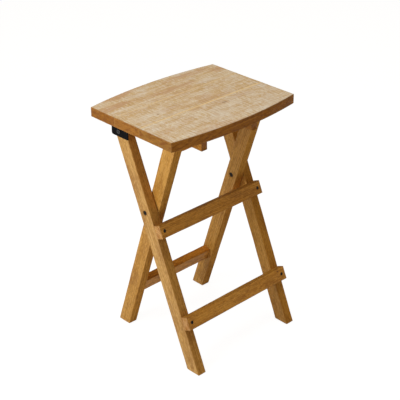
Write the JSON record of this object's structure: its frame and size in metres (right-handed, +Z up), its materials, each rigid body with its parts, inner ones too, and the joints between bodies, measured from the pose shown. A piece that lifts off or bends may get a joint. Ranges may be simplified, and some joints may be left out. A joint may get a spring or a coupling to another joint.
{
  "type": "folding bar stool",
  "caption": "Folding wooden bar stool: a bowed plank seat on two crossed leg frames, with front footrest rails and black steel hinge brackets.",
  "frame": {"origin": "middle of the bounding box on the floor, with the stool standing open", "axes": "+Z up to the seat, +X along the seat's length to its right end, -Y towards the front, the side with the two footrest rails"},
  "size_m": [0.398, 0.3476, 0.61],
  "materials": {
    "seat_wood": "whitewashed, saw-marked top, oiled",
    "leg_wood": "honey-brown stain, satin oil",
    "dowel_wood": "plain beech",
    "black_steel": "black powder coat, satin",
    "dark_steel": "dark zinc, satin",
    "bright_steel": "bright zinc",
    "nylon": "natural nylon",
    "glide_plastic": "dark brown, matt"
  },
  "bodies": {
    "outer_frame": {"outer_leg_left": "leg_wood", "outer_leg_right": "leg_wood", "upper_footrest_rail": "leg_wood", "lower_front_rail": "leg_wood", "upper_rail_screw_left": "dark_steel", "upper_rail_screw_right": "dark_steel", "lower_rail_screw_left": "dark_steel", "lower_rail_screw_right": "dark_steel", "pivot_bolt_left": "dark_steel", "pivot_bolt_right": "dark_steel", "pivot_nut_left": "dark_steel", "pivot_nut_right": "dark_steel", "pivot_spacer_left": "nylon", "pivot_spacer_right": "nylon", "hinge_bolt_left": "bright_steel", "hinge_bolt_right": "bright_steel", "hinge_nut_left": "bright_steel", "hinge_nut_right": "bright_steel", "hinge_washer_left": "bright_steel", "hinge_washer_right": "bright_steel", "front_glide_left": "glide_plastic", "front_glide_right": "glide_plastic"},
    "inner_frame": {"inner_leg_left": "leg_wood", "inner_leg_right": "leg_wood", "inner_top_bar": "leg_wood", "inner_rear_rail": "leg_wood", "top_bar_dowel_left_1": "dowel_wood", "top_bar_dowel_left_2": "dowel_wood", "top_bar_dowel_right_1": "dowel_wood", "top_bar_dowel_right_2": "dowel_wood", "rear_rail_dowel_left_1": "dowel_wood", "rear_rail_dowel_left_2": "dowel_wood", "rear_rail_dowel_right_1": "dowel_wood", "rear_rail_dowel_right_2": "dowel_wood", "rear_glide_left": "glide_plastic", "rear_glide_right": "glide_plastic"},
    "seat": {"seat_plank_front": "seat_wood", "seat_plank_middle": "seat_wood", "seat_plank_rear": "seat_wood", "seat_batten_left": "leg_wood", "seat_batten_right": "leg_wood", "hinge_bracket_left": "black_steel", "hinge_bracket_right": "black_steel", "bracket_screw_left_1": "dark_steel", "bracket_screw_left_2": "dark_steel", "bracket_screw_left_3": "dark_steel", "bracket_screw_right_1": "dark_steel", "bracket_screw_right_2": "dark_steel", "bracket_screw_right_3": "dark_steel", "batten_screw_left_1": "dark_steel", "batten_screw_left_2": "dark_steel", "batten_screw_left_3": "dark_steel", "batten_screw_right_1": "dark_steel", "batten_screw_right_2": "dark_steel", "batten_screw_right_3": "dark_steel"}
  },
  "joints": [
    {"name": "leg_fold", "type": "hinge", "parent": "outer_frame", "child": "inner_frame", "pos_m": [0, 0.0078, 0.3765], "axis": [-1, 0, 0], "range_deg": [0, 41.2]},
    {"name": "seat_fold", "type": "hinge", "parent": "outer_frame", "child": "seat", "pos_m": [0, 0.0878, 0.562], "axis": [-1, 0, 0], "range_deg": [0, 112.7]}
  ],
  "couplings": [
    {"joint": "seat_fold", "follows": "leg_fold", "ratio": 2.735}
  ]
}
